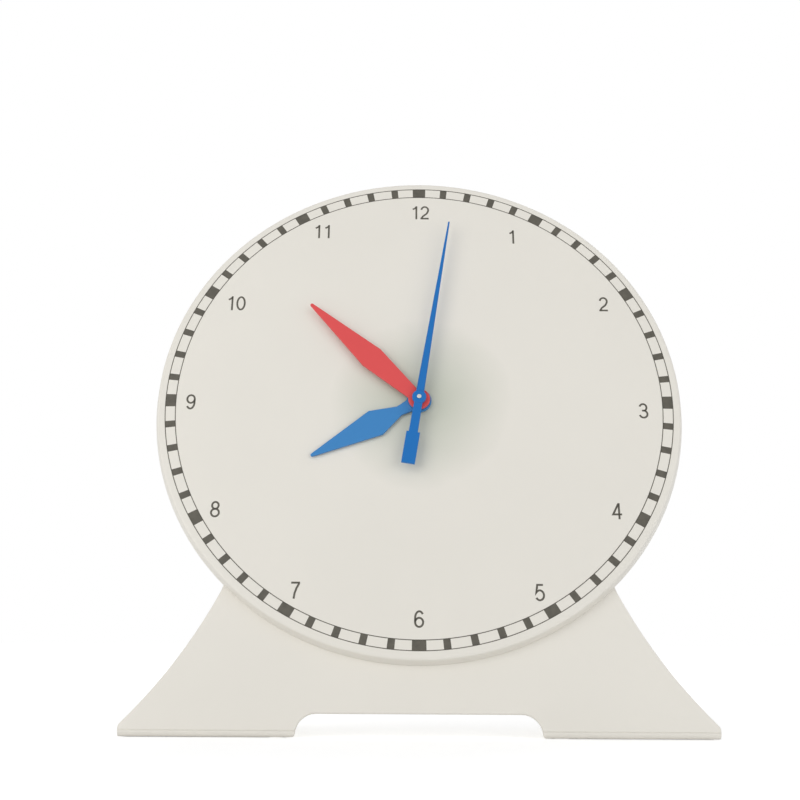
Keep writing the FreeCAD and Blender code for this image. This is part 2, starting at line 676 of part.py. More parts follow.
def gear_cover():
    """The clear cover over the gears: flange, walls, back and two rear bearings."""
    flange = slab(flange_outline(), BASE_REAR, BASE_REAR + CASE_FLANGE_THICKNESS)
    outer = rounded_rectangle(-CASE_LEFT, CASE_RIGHT, CASE_HALF_HEIGHT, CASE_CORNER_ROUND)
    box = slab(outer, BASE_REAR, CASE_REAR)
    rear_rim = [e for e in box.Edges if abs(e.BoundBox.YMin - CASE_REAR) < SAME_PLACE]
    box = box.makeChamfer(CASE_EDGE_BEVEL, rear_rim)
    wall = CASE_WALL
    inner = rounded_rectangle(wall - CASE_LEFT, CASE_RIGHT - wall, CASE_HALF_HEIGHT - wall,
                              CASE_CORNER_ROUND - wall)
    hollow = slab(inner, BASE_REAR - OVERRUN, CASE_INSIDE)
    body = joined([flange, box]).cut(hollow)
    boss_front = CASE_INSIDE - BEARING_DEPTH
    second_boss = rod(SECOND_ARBOR_RADIUS + BEARING_WALL, boss_front, CASE_REAR)
    third_boss = rod(THIRD_ARBOR_RADIUS + BEARING_WALL, boss_front, CASE_REAR, THIRD_AT)
    body = joined([body, second_boss, third_boss])
    flange_rear = BASE_REAR + CASE_FLANGE_THICKNESS
    cuts = [rod(SCREW_RADIUS + SCREW_CLEARANCE, BASE_REAR - OVERRUN, flange_rear + OVERRUN, at)
            for at in case_screw_places()]
    bearing_front = boss_front - OVERRUN
    cuts.append(rod(SECOND_ARBOR_RADIUS + RUN_CLEARANCE, bearing_front, CASE_INSIDE + CASE_WALL / 2))
    cuts.append(rod(THIRD_ARBOR_RADIUS + RUN_CLEARANCE, bearing_front, CASE_REAR + OVERRUN, THIRD_AT))
    return body.cut(cuts[0].multiFuse(cuts[1:]))


def motion_post():
    """The steel stud that the motion wheel turns on, pressed into the base."""
    end = MOTION_LEVEL + WHEEL_THICKNESS + POST_END
    return rod(POST_RADIUS, BASE_FRONT, end, MOTION_AT)


def post_clip():
    """A split ring on the end of the motion post."""
    front = MOTION_LEVEL + WHEEL_THICKNESS + POST_END - CLIP_THICKNESS
    ring = tube(POST_RADIUS + CLIP_WALL, POST_RADIUS, front, front + CLIP_THICKNESS, MOTION_AT)
    reach = 2 * (POST_RADIUS + CLIP_WALL)
    half_gap = reach * tan(radians(CLIP_GAP_DEG / 2))
    apex = face_point(*MOTION_AT)
    wedge = slab(polygon([apex, apex + V(half_gap, 0, reach), apex + V(-half_gap, 0, reach)]),
                 front - OVERRUN, front + CLIP_THICKNESS + OVERRUN)
    return ring.cut(wedge)


def case_screws():
    head = BASE_REAR + CASE_FLANGE_THICKNESS
    return [screw(head, DIAL_DEPTH - SCREW_BITE, at) for at in case_screw_places()]


def stand_screws():
    head = DIAL_DEPTH + PANEL_THICKNESS
    return [screw(head, DIAL_DEPTH - SCREW_BITE, at) for at in stand_screw_places()]


# Second hand's body


def second_arbor():
    return rod(SECOND_ARBOR_RADIUS, SECOND_ARBOR_FRONT, CASE_INSIDE + CASE_WALL / 2 - ARBOR_END_GAP)


def second_pinion():
    front = THIRD_LEVEL - PINION_OVERHANG
    rear = THIRD_LEVEL + WHEEL_THICKNESS + PINION_OVERHANG
    teeth = pinion_between(SECOND_MODULE, SECOND_PINION_TEETH, TEN_TOOTH_SHIFT_SHARE, front, rear,
                           CENTRE_AT, THIRD_AT)
    return teeth.cut(rod(SECOND_ARBOR_RADIUS, front - OVERRUN, rear + OVERRUN))


# Third body, with the knob


def third_wheel():
    """The 75-tooth wheel, its hub behind and its 10-tooth pinion in front, as one moulding."""
    front = CENTRE_LEVEL - PINION_OVERHANG
    wheel_rear = THIRD_LEVEL + WHEEL_THICKNESS
    wheel = wheel_between(SECOND_MODULE, THIRD_WHEEL_TEETH, TEN_TOOTH_SHIFT_SHARE, THIRD_LEVEL, wheel_rear,
                          THIRD_AT, CENTRE_AT)
    rim = root_radius(SECOND_MODULE, THIRD_WHEEL_TEETH, -TEN_TOOTH_SHIFT_SHARE) - WHEEL_RIM
    hub = THIRD_ARBOR_RADIUS + WHEEL_HUB_WALL
    inside = tip_radius(CENTRE_MODULE, THIRD_PINION_TEETH, TEN_TOOTH_SHIFT_SHARE) + WHEEL_HUB_WALL
    wheel = wheel.cut(windows(rim, inside, THIRD_LEVEL, wheel_rear, THIRD_AT))
    pinion = pinion_between(CENTRE_MODULE, THIRD_PINION_TEETH, TEN_TOOTH_SHIFT_SHARE, front, THIRD_LEVEL,
                            THIRD_AT, CENTRE_AT)
    body = joined([wheel, pinion, rod(hub, THIRD_LEVEL, WASHER_FRONT, THIRD_AT)])
    return body.cut(rod(THIRD_ARBOR_RADIUS, front - OVERRUN, WASHER_FRONT + OVERRUN, THIRD_AT))


def third_arbor():
    front = BASE_FRONT + BEARING_FLOOR + ARBOR_END_GAP
    return rod(THIRD_ARBOR_RADIUS, front, KNOB_REAR - KNOB_DISH_DEPTH - KNOB_BORE_FLOOR, THIRD_AT)


def friction_washer():
    """A thin washer behind the third wheel, which the cover's bearing presses on."""
    rear = WASHER_FRONT + WASHER_THICKNESS
    return tube(THIRD_ARBOR_RADIUS + WASHER_WALL, THIRD_ARBOR_RADIUS, WASHER_FRONT, rear, THIRD_AT)


def setting_knob():
    """A fluted knob with a neck in front and a dished back."""
    skirt_front = KNOB_FRONT + KNOB_NECK_DEPTH
    skirt = rod(KNOB_RADIUS, skirt_front, KNOB_REAR, THIRD_AT)
    cuts = []
    reach = KNOB_RADIUS + KNOB_FLUTE_RADIUS - KNOB_FLUTE_DEPTH
    for k in range(KNOB_FLUTES):
        angle = k * 2 * pi / KNOB_FLUTES
        centre = (THIRD_AT[0] + reach * cos(angle), THIRD_AT[1] + reach * sin(angle))
        cuts.append(rod(KNOB_FLUTE_RADIUS, skirt_front - OVERRUN, KNOB_REAR + OVERRUN, centre))
    bore_end = KNOB_REAR - KNOB_DISH_DEPTH - KNOB_BORE_FLOOR
    cuts.append(rod(KNOB_DISH_RADIUS, KNOB_REAR - KNOB_DISH_DEPTH, KNOB_REAR + OVERRUN, THIRD_AT))
    cuts.append(rod(THIRD_ARBOR_RADIUS, KNOB_FRONT - OVERRUN, bore_end, THIRD_AT))
    cuts.append(rod(SCREW_RADIUS, bore_end, KNOB_REAR + OVERRUN, THIRD_AT))
    return joined([skirt, rod(KNOB_NECK_RADIUS, KNOB_FRONT, skirt_front, THIRD_AT)]).cut(cuts)


def knob_screw():
    """The screw that holds the knob on the end of its arbor."""
    return screw(KNOB_REAR - KNOB_DISH_DEPTH, KNOB_REAR - KNOB_DISH_DEPTH - KNOB_BORE_FLOOR, THIRD_AT)


# Minute body


def minute_pipe():
    """The pipe that the second arbor runs in, with the cannon pinion moulded round it."""
    pinion_front = MOTION_LEVEL - PINION_OVERHANG
    pinion_rear = MOTION_LEVEL + WHEEL_THICKNESS + PINION_OVERHANG
    cannon = pinion_between(CANNON_MODULE, CANNON_PINION_TEETH, CANNON_SHIFT_SHARE, pinion_front,
                            pinion_rear, CENTRE_AT, MOTION_AT)
    pipe = rod(MINUTE_PIPE_RADIUS, MINUTE_PIPE_FRONT, CENTRE_LEVEL + WHEEL_THICKNESS + PINION_OVERHANG)
    bore = rod(MINUTE_BORE, MINUTE_PIPE_FRONT - OVERRUN, CENTRE_LEVEL + WHEEL_THICKNESS + LEVEL_GAP)
    return joined([pipe, cannon]).cut(bore)


def centre_wheel():
    """The 80-tooth wheel pressed on the minute pipe, with a collar that seats on the cannon pinion."""
    rear = CENTRE_LEVEL + WHEEL_THICKNESS
    wheel = wheel_between(CENTRE_MODULE, CENTRE_WHEEL_TEETH, TEN_TOOTH_SHIFT_SHARE, CENTRE_LEVEL, rear,
                          CENTRE_AT, THIRD_AT)
    collar_radius = MINUTE_PIPE_RADIUS + WHEEL_HUB_WALL
    rim = root_radius(CENTRE_MODULE, CENTRE_WHEEL_TEETH, -TEN_TOOTH_SHIFT_SHARE) - WHEEL_RIM
    wheel = wheel.cut(windows(rim, collar_radius + WHEEL_HUB_WALL, CENTRE_LEVEL, rear, CENTRE_AT))
    collar_front = MOTION_LEVEL + WHEEL_THICKNESS + PINION_OVERHANG
    body = joined([wheel, rod(collar_radius, collar_front, rear)])
    return body.cut(rod(MINUTE_PIPE_RADIUS, collar_front - OVERRUN, rear + OVERRUN))


# Motion body


def motion_wheel():
    """The 45-tooth wheel and its 12-tooth pinion as one moulding, turning on the post."""
    wheel_rear = MOTION_LEVEL + WHEEL_THICKNESS
    wheel = wheel_between(CANNON_MODULE, MOTION_WHEEL_TEETH, CANNON_SHIFT_SHARE, MOTION_LEVEL, wheel_rear,
                          MOTION_AT, CENTRE_AT)
    front = HOUR_LEVEL - PINION_OVERHANG
    pinion = pinion_between(HOUR_MODULE, MOTION_PINION_TEETH, MOTION_SHIFT_SHARE, front, MOTION_LEVEL,
                            MOTION_AT, CENTRE_AT)
    body = joined([wheel, pinion])
    return body.cut(rod(POST_RADIUS + RUN_CLEARANCE, front - OVERRUN, wheel_rear + OVERRUN, MOTION_AT))


# Hour body


def hour_wheel():
    """The 48-tooth wheel and the hour pipe as one moulding."""
    rear = HOUR_LEVEL + WHEEL_THICKNESS
    wheel = wheel_between(HOUR_MODULE, HOUR_WHEEL_TEETH, MOTION_SHIFT_SHARE, HOUR_LEVEL, rear,
                          CENTRE_AT, MOTION_AT)
    shoulder = rod(HOUR_PIPE_RADIUS + WHEEL_HUB_WALL, BASE_REAR + HOUR_WHEEL_FLOAT, rear)
    pipe = rod(HOUR_PIPE_RADIUS, HOUR_PIPE_FRONT, rear)
    return joined([wheel, shoulder, pipe]).cut(rod(HOUR_BORE, HOUR_PIPE_FRONT - OVERRUN, rear + OVERRUN))


# Hands, drawn pointing at twelve and then turned clockwise


def hand(blade, blade_front, blade_rear, hub_radius, hub_front, hub_rear, bore, clock_deg):
    """A flat blade on a round hub with a bore, turned to its place on the dial."""
    body = joined([slab(blade, blade_front, blade_rear), rod(hub_radius, hub_front, hub_rear)])
    body = body.cut(rod(bore, hub_front - OVERRUN, hub_rear + OVERRUN))
    body.rotate(V(0, 0, 0), V(0, 1, 0), clock_deg)
    return body


def blade_outline(right, half_tip, length):
    """Edges of a blade that is alike on both sides: its right side from tail to tip, and a round tip."""
    right = [face_point(x, z) for x, z in right] + [face_point(half_tip, length - half_tip)]
    left = [face_point(-p.x, p.z) for p in reversed(right)]
    edges = [segment(a, b) for a, b in zip(right, right[1:])]
    edges.append(bow(right[-1], face_point(0.0, length), left[0]))
    edges += [segment(a, b) for a, b in zip(left, left[1:])]
    edges.append(segment(left[-1], right[0]))
    return edges


def hour_hand():
    """A leaf with a narrow neck near its hub."""
    right = [
        (HOUR_ROOT_HALF_WIDTH, 0.0),
        (HOUR_NECK_HALF_WIDTH, HOUR_NECK),
        (HOUR_HAND_HALF_WIDTH, HOUR_HAND_WIDEST),
    ]
    blade = blade_outline(right, HAND_TIP_HALF_WIDTH, HOUR_HAND_LENGTH)
    front = HOUR_HUB_FRONT + HAND_SETBACK
    return hand(blade, front, front + HAND_THICKNESS, HOUR_HUB_RADIUS, HOUR_HUB_FRONT, HOUR_HUB_REAR,
                HOUR_PIPE_RADIUS, HOUR_HAND_DEG)


def minute_hand():
    """A long leaf."""
    right = [(MINUTE_ROOT_HALF_WIDTH, 0.0), (MINUTE_HAND_HALF_WIDTH, MINUTE_HAND_WIDEST)]
    blade = blade_outline(right, HAND_TIP_HALF_WIDTH, MINUTE_HAND_LENGTH)
    front = MINUTE_HUB_FRONT + HAND_SETBACK
    return hand(blade, front, front + HAND_THICKNESS, MINUTE_HUB_RADIUS, MINUTE_HUB_FRONT, MINUTE_HUB_REAR,
                MINUTE_PIPE_RADIUS, MINUTE_HAND_DEG)


def second_hand():
    """A slim tapering blade with a counterweight on its tail."""
    right = [
        (COUNTERWEIGHT_HALF_WIDTH, -TAIL_LENGTH),
        (COUNTERWEIGHT_HALF_WIDTH, -COUNTERWEIGHT_START),
        (TAIL_HALF_WIDTH, -COUNTERWEIGHT_START),
        (SECOND_ROOT_HALF_WIDTH, 0.0),
    ]
    blade = blade_outline(right, SECOND_TIP_HALF_WIDTH, SECOND_HAND_LENGTH)
    front = SECOND_HUB_FRONT + HAND_SETBACK
    return hand(blade, front, front + SECOND_HAND_THICKNESS, SECOND_HUB_RADIUS, SECOND_HUB_FRONT,
                SECOND_HUB_REAR, SECOND_ARBOR_RADIUS, SECOND_HAND_DEG)


# Placing and writing

IN_DIAL_FRAME = {
    "dial_plate": dial_plate,
    "stand_screws": stand_screws,
    "gear_base": gear_base,
    "gear_cover": gear_cover,
    "case_screws": case_screws,
    "motion_post": motion_post,
    "post_clip": post_clip,
    "second_arbor": second_arbor,
    "second_pinion": second_pinion,
    "second_hand": second_hand,
    "third_wheel": third_wheel,
    "third_arbor": third_arbor,
    "friction_washer": friction_washer,
    "setting_knob": setting_knob,
    "knob_screw": knob_screw,
    "minute_pipe": minute_pipe,
    "centre_wheel": centre_wheel,
    "minute_hand": minute_hand,
    "motion_wheel": motion_wheel,
    "hour_wheel": hour_wheel,
    "hour_hand": hour_hand,
}


def build():
    """Every node as a shape in the part's own frame."""
    nodes = {}
    for name, make in IN_DIAL_FRAME.items():
        made = make()
        pieces = [lean(piece) for piece in (made if isinstance(made, list) else [made])]
        nodes[name] = pieces[0] if len(pieces) == 1 else Part.makeCompound(pieces)
    nodes["stand"] = stand()
    front = min(shape.BoundBox.YMin for shape in nodes.values())
    rear = max(shape.BoundBox.YMax for shape in nodes.values())
    footprint_middle = (front + rear) / 2
    for shape in nodes.values():
        shape.translate(V(0, -footprint_middle, -FLOOR))
    print("hand axis meets the dial face at", 0.0, -footprint_middle, -FLOOR)
    return nodes


def main():
    os.makedirs("parts", exist_ok=True)
    for name, shape in build().items():
        print(name, "solids", len(shape.Solids), "volume", round(shape.Volume, 1), "valid", shape.isValid())
        shape.exportStep("parts/" + name + ".step")


main()
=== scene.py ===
"""The looks of a geared teaching clock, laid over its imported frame: camera, light, materials and fine shapes.

The printing and the screws are modelled in the dial's own frame, in metres: X to the right, Y to the rear
and Z up the face, with the hand axis meeting the dial's face at the origin. face_to_world turns that into
the world.
"""

import bmesh
import bpy
import json
from math import cos, hypot, pi, radians, sin
from mathutils import Euler, Matrix, Vector


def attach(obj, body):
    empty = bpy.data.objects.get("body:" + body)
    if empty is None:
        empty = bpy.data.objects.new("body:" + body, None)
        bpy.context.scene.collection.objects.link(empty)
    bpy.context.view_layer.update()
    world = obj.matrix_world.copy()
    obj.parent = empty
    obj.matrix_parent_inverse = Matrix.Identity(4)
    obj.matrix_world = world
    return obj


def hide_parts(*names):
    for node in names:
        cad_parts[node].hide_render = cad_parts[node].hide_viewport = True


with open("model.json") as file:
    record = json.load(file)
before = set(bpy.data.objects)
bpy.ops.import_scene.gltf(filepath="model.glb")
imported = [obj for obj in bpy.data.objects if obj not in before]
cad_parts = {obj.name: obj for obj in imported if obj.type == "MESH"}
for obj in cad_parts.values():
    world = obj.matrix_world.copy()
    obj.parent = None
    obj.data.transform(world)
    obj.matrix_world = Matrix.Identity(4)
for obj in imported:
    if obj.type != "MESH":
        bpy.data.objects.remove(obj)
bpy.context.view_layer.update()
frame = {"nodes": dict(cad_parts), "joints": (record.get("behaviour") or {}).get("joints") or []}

MM = 0.001
FULL_TURN_DEG = 360.0
WHITE = (1.0, 1.0, 1.0)

# Camera: the dial's turns before it about the lines right, up and away, and where the dial's centre lies
CAMERA_TURNS_DEG = (25.364, 0.179, -0.282)
DIAL_FROM_CAMERA = Vector((10.18, -1.13, 708.82)) * MM
CAMERA_LENS = 59.68
SENSOR_WIDTH = 36.0
CLIP_START = 0.01
CLIP_END = 60.0

# Studio
WORLD_STRENGTH = 0.51
WORLD_COLOUR = (0.98, 0.99, 1.0)
FLOOR_SIZE = 40.0
FLOOR_LEVEL = -0.2 * MM
FLOOR_COLOUR = (0.90, 0.90, 0.90)
FLOOR_ROUGHNESS = 0.9

# Lights: where each one stands, how wide it is, its power and its colour
LIGHTS = {
    "key": (Vector((-1.2, -1.4, 0.8)), 1.4, 12.6, (1.0, 0.985, 0.96)),
    "fill": (Vector((1.3, -1.4, 0.4)), 1.6, 9.4, (0.97, 0.985, 1.0)),
    "rear": (Vector((0.5, 1.6, 1.4)), 1.6, 13.0, WHITE),
}

# What the floor adds to the light it takes: shown near the clock, shown far away, and given to other pieces
GLOW_NEAR = 0.36
GLOW_FAR = 0.60
GLOW_GIVEN = 0.06
NEAR = 0.15
FAR = 1.2
FLOOR_MIDDLE = Vector((0.0, 0.0, 0.0))

# Printing on the dial
INK_THICKNESS = 0.04 * MM
INK_SUNK = 0.02 * MM
RING_OUTER = 135.4 * MM
RING_INNER = 130.0 * MM
RING_LINE = 0.45 * MM
RING_RISE = 0.4 * MM
RING_STEPS = 360
MARKS = 60
MARKS_PER_HOUR = 5
MARK_DEG = 1.6
HOUR_MARK_DEG = 3.1
MARK_STEPS = 4

# Numerals: how tall, and how far to the right of the hand axis and above it the middle of each one is printed
NUMERAL_HEIGHT = 8.8 * MM
NUMERAL_LINE = 1.02 * MM
NUMERAL_PLACES_MM = {
    1: (52.5, 104.0),
    2: (102.0, 60.5),
    3: (119.5, -4.5),
    4: (102.0, -61.5),
    5: (60.5, -105.0),
    6: (0.0, -119.0),
    7: (-62.0, -104.5),
    8: (-105.0, -61.5),
    9: (-122.0, -0.5),
    10: (-101.0, 60.0),
    11: (-55.0, 107.0),
    12: (1.0, 120.0),
}
DIGIT_APART_SHARE = 0.62
DIGIT_MIDDLE_SHARE = 0.5
BOW_STEP_DEG = 12.0

# Eased edges of the mouldings and the turned pieces
EASE_MOULDING = 0.4 * MM
EASE_HAND = 0.3 * MM
EASE_TURNED = 0.15 * MM
EASE_SEGMENTS = 3
EASE_ANGLE_DEG = 35.0
FLAT_FACE_WEIGHT = 80

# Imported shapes: nearer points are joined, flatter faces are made whole, and narrower ones are cut up
WELD = 0.002 * MM
FLAT_DEG = 0.4
STRIP = 2.2 * MM

# Seam across the front of each foot, above the foot plate
SEAM_HEIGHT = 3.3 * MM
SEAM_WIDTH = 0.45 * MM
SEAM_DEPTH = 0.3 * MM
SEAM_LENGTH = 320.0 * MM
SHARP_DEG = 60.0

# Screws with domed heads and a cross, put in order by their places to the nearest millimetre
CROSS_HALF_WIDTH_SHARE = 0.16
CROSS_REACH_SHARE = 0.62
CROSS_DEPTH_SHARE = 0.55
CROSS_TAPER_SHARE = 0.55
DOME_SHARE = 0.55
DOME_STEPS = 6
SCREW_STEPS = 40
PLACE_DECIMALS = 3

# Quarter turns, each written as the two rows of its matrix
QUARTER_TURNS = [(1, 0, 0, 1), (0, 1, -1, 0), (-1, 0, 0, -1), (0, -1, 1, 0)]

# Colours, linear
WARM_WHITE = (0.800, 0.770, 0.705)
# Painted shade: the dial's colour where the gears behind it would shade it
PAINTED_GEAR_SHADE = (0.560, 0.581, 0.494)
INK_GREY = (0.088, 0.080, 0.062)
RED = (0.735, 0.088, 0.089)
HOUR_BLUE = (0.050, 0.231, 0.536)
SECOND_BLUE = (0.011, 0.159, 0.487)
IVORY = (0.800, 0.760, 0.620)
STEEL = (0.600, 0.595, 0.580)
CLEAR = (0.930, 0.960, 0.970)

# How far a colour wanders to either side
CLOUD_CONTRAST = 0.012
STAIN_CONTRAST = 0.06
INK_CONTRAST = 0.18

# Roughness: a middle value for each moulded plastic, which wanders by UNEVEN_BY, and a range for the rest
WHITE_ROUGHNESS = 0.46
HAND_ROUGHNESS = 0.38
GEAR_ROUGHNESS = 0.42
UNEVEN_BY = 0.05
STEEL_ROUGHNESS = (0.22, 0.36)
CLEAR_ROUGHNESS = (0.03, 0.09)
INK_ROUGHNESS = (0.42, 0.58)

# How much the plastics mirror and bend light
DULL = 0.5
DEEP = 0.25
PLASTIC_IOR = 1.47
CLEAR_IOR = 1.45

# Noises: how many features a metre, how many finer layers, and how far they are bent out of line
CLOUDING = (14.0, 4.0, 0.4)
UNEVEN_SHEEN = (60.0, 3.0, 0.0)
MOULD_GRAIN = (1500.0, 2.0, 0.0)
EDGE_WEAR = (90.0, 3.0, 0.0)
RAGGED_SHADE = (22.0, 2.0, 0.6)
STEEL_STAINS = (900.0, 2.0, 0.0)
STEEL_PATCHES = (400.0, 3.0, 0.0)
STEEL_MARKS = (5000.0, 1.0, 0.0)
CLEAR_HAZE = (40.0, 3.0, 0.0)
FLOW_MARKS = (25.0, 2.0, 0.8)
THIN_INK = (350.0, 3.0, 0.0)
INK_SHEEN = (700.0, 3.0, 0.0)
INK_GRAIN = (2500.0, 1.0, 0.0)

# The part of a noise's range that its values mostly lie in
NOISE_LOW = 0.3
NOISE_HIGH = 0.7

# Bumps: how strong and how deep
GRAIN_BUMP = (0.35, 0.02 * MM)
MARKS_BUMP = (0.2, 0.01 * MM)
FLOW_BUMP = (0.15, 0.1 * MM)
INK_BUMP = (0.2, 0.01 * MM)

# Rubbed edges: how far in they reach, how far the surface has to turn there, and how uneven they are
WORN_WIDTH = 0.9 * MM
WORN_TURN = 0.22
WORN_SAMPLES = 6
WORN_SHARE = (0.25, 1.0)
RUBBED_PALER = 0.06
RUBBED_SMOOTHER = 0.12

# Painted shade of the gears through the thin dial, mixed into its colour: whole near the hand axis, gone at its
# reach, with a ragged edge
SHADE_CORE = 12.0 * MM
SHADE_REACH = 49.0 * MM
SHADE_RAGGED = 3.0 * MM


# Frame of the dial

joints = {joint["name"]: joint for joint in frame["joints"]}
hand_centre = Vector(joints["minute_turn"]["pos_m"])
rearward = Vector(joints["minute_turn"]["axis"]).normalized()
rightward = Vector((1.0, 0.0, 0.0))
upward = rightward.cross(rearward)
face_to_world = Matrix.Translation(hand_centre) @ Matrix((rightward, rearward, upward)).transposed().to_4x4()
world_to_face = face_to_world.inverted()


# Shader nodes


def new_material(name):
    material = bpy.data.materials.new(name)
    material.use_nodes = True
    return material, material.node_tree, material.node_tree.nodes["Principled BSDF"]


def combined(tree, operation, first, second):
    """One value worked out from two, the second a number or the output of another node."""
    maths = tree.nodes.new("ShaderNodeMath")
    maths.operation = operation
    tree.links.new(first, maths.inputs[0])
    if isinstance(second, bpy.types.NodeSocket):
        tree.links.new(second, maths.inputs[1])
    else:
        maths.inputs[1].default_value = second
    return maths.outputs[0]


def mapped(tree, value, start, end, low, high):
    """A value that runs from low to high while the given one runs from start to end."""
    spread = tree.nodes.new("ShaderNodeMapRange")
    spread.inputs["From Min"].default_value = start
    spread.inputs["From Max"].default_value = end
    spread.inputs["To Min"].default_value = low
    spread.inputs["To Max"].default_value = high
    tree.links.new(value, spread.inputs["Value"])
    return spread.outputs["Result"]


def distance_from(tree, place):
    """How far the shaded point lies from a place."""
    coordinates = tree.nodes.new("ShaderNodeTexCoord")
    apart = tree.nodes.new("ShaderNodeVectorMath")
    apart.operation = "DISTANCE"
    apart.inputs[1].default_value = place
    tree.links.new(coordinates.outputs["Object"], apart.inputs[0])
    return apart.outputs["Value"]


def noise(tree, kind):
    """A noise of the piece's own coordinates."""
    scale, detail, distortion = kind
    coordinates = tree.nodes.new("ShaderNodeTexCoord")
    texture = tree.nodes.new("ShaderNodeTexNoise")
    texture.inputs["Scale"].default_value = scale
    texture.inputs["Detail"].default_value = detail
    texture.inputs["Distortion"].default_value = distortion
    tree.links.new(coordinates.outputs["Object"], texture.inputs["Vector"])
    return texture.outputs["Fac"]


def between(tree, value, low, high):
    """A value that runs from low to high over the middle of a noise."""
    return mapped(tree, value, NOISE_LOW, NOISE_HIGH, low, high)


def mixed(tree, factor, first, second):
    """A colour between two others, each a colour or the output of another node."""
    mix = tree.nodes.new("ShaderNodeMix")
    mix.data_type = "RGBA"
    for name, value in (("A", first), ("B", second)):
        if isinstance(value, bpy.types.NodeSocket):
            tree.links.new(value, mix.inputs[name])
        else:
            mix.inputs[name].default_value = (*value, 1.0)
    tree.links.new(factor, mix.inputs["Factor"])
    return mix.outputs["Result"]


def tinted(tree, value, colour, contrast):
    """A colour that wanders a little darker and lighter with a noise."""
    darker, lighter = ([channel * (1.0 + sign * contrast) for channel in colour] for sign in (-1.0, 1.0))
    return mixed(tree, between(tree, value, 0.0, 1.0), darker, lighter)


def bumped(tree, shader, value, strength, depth):
    """Fine bumps that follow a value."""
    bump = tree.nodes.new("ShaderNodeBump")
    bump.inputs["Strength"].default_value = strength
    bump.inputs["Distance"].default_value = depth
    tree.links.new(value, bump.inputs["Height"])
    tree.links.new(bump.outputs["Normal"], shader.inputs["Normal"])


# Camera and light


def in_face(vector):
    """The dial's own coordinates of a vector that is given as right, up and away from the viewer."""
    right, up, away = vector
    return Vector((right, away, up))


def make_camera():
    """The photograph's view of the dial."""
    turn = Euler([radians(deg) for deg in CAMERA_TURNS_DEG], "XYZ").to_matrix()
    placed = face_to_world @ in_face(turn.transposed() @ -DIAL_FROM_CAMERA)
    across, over, ahead = (face_to_world.to_3x3() @ in_face(row) for row in turn)
    data = bpy.data.cameras.new("camera")
    data.lens = CAMERA_LENS
    data.sensor_width = SENSOR_WIDTH
    data.clip_start = CLIP_START
    data.clip_end = CLIP_END
    camera = bpy.data.objects.new("camera", data)
    camera.matrix_world = Matrix.Translation(placed) @ Matrix((across, over, -ahead)).transposed().to_4x4()
    bpy.context.scene.collection.objects.link(camera)
    bpy.context.scene.camera = camera


def area_light(name, place, size, power, colour):
    """A soft square light that looks at the middle of the clock."""
    data = bpy.data.lights.new(name, "AREA")
    data.shape = "SQUARE"
    data.size = size
    data.energy = power
    data.color = colour
    light = bpy.data.objects.new(name, data)
    light.location = place
    light.rotation_mode = "QUATERNION"
    light.rotation_quaternion = (hand_centre - light.location).to_track_quat("-Z", "Y")
    bpy.context.scene.collection.objects.link(light)


def shown_directly(tree):
    """1 where the camera, a mirror or a clear piece looks at the backdrop, and 0 for the light it gives."""
    path = tree.nodes.new("ShaderNodeLightPath")
    total = path.outputs["Is Camera Ray"]
    for name in ("Is Glossy Ray", "Is Transmission Ray"):
        total = combined(tree, "MAXIMUM", total, path.outputs[name])
    return total


def make_world():
    """Even pale light from all round, and white where the backdrop itself is looked at."""
    world = bpy.data.worlds.new("studio")
    bpy.context.scene.world = world
    world.use_nodes = True
    tree = world.node_tree
    tree.nodes.clear()
    output = tree.nodes.new("ShaderNodeOutputWorld")
    lit = tree.nodes.new("ShaderNodeBackground")
    lit.inputs["Color"].default_value = (*WORLD_COLOUR, 1.0)
    lit.inputs["Strength"].default_value = WORLD_STRENGTH
    seen = tree.nodes.new("ShaderNodeBackground")
    seen.inputs["Color"].default_value = (*WHITE, 1.0)
    seen.inputs["Strength"].default_value = 1.0
    mix = tree.nodes.new("ShaderNodeMixShader")
    tree.links.new(shown_directly(tree), mix.inputs["Fac"])
    tree.links.new(lit.outputs[0], mix.inputs[1])
    tree.links.new(seen.outputs[0], mix.inputs[2])
    tree.links.new(mix.outputs[0], output.inputs["Surface"])


def make_floor():
    """A pale floor that reads as white where it is looked at, and still takes the clock's shadow."""
    mesh = bpy.data.meshes.new("floor")
    half = FLOOR_SIZE / 2
    corners = [(x, y, FLOOR_LEVEL) for x, y in ((-half, -half), (half, -half), (half, half), (-half, half))]
    mesh.from_pydata(corners, [], [(0, 1, 2, 3)])
    floor = bpy.data.objects.new("floor", mesh)
    bpy.context.scene.collection.objects.link(floor)
    material, tree, shader = new_material("floor")
    shader.inputs["Base Color"].default_value = (*FLOOR_COLOUR, 1.0)
    shader.inputs["Roughness"].default_value = FLOOR_ROUGHNESS
    shader.inputs["Specular IOR Level"].default_value = 0.0
    glow = tree.nodes.new("ShaderNodeEmission")
    from_clock = distance_from(tree, FLOOR_MIDDLE)
    shown = mapped(tree, from_clock, NEAR, FAR, GLOW_NEAR - GLOW_GIVEN, GLOW_FAR - GLOW_GIVEN)
    shown = combined(tree, "MULTIPLY", shown, shown_directly(tree))
    tree.links.new(combined(tree, "ADD", shown, GLOW_GIVEN), glow.inputs["Strength"])
    added = tree.nodes.new("ShaderNodeAddShader")
    tree.links.new(shader.outputs[0], added.inputs[0])
    tree.links.new(glow.outputs[0], added.inputs[1])
    tree.links.new(added.outputs[0], tree.nodes["Material Output"].inputs["Surface"])
    mesh.materials.append(material)


# Materials


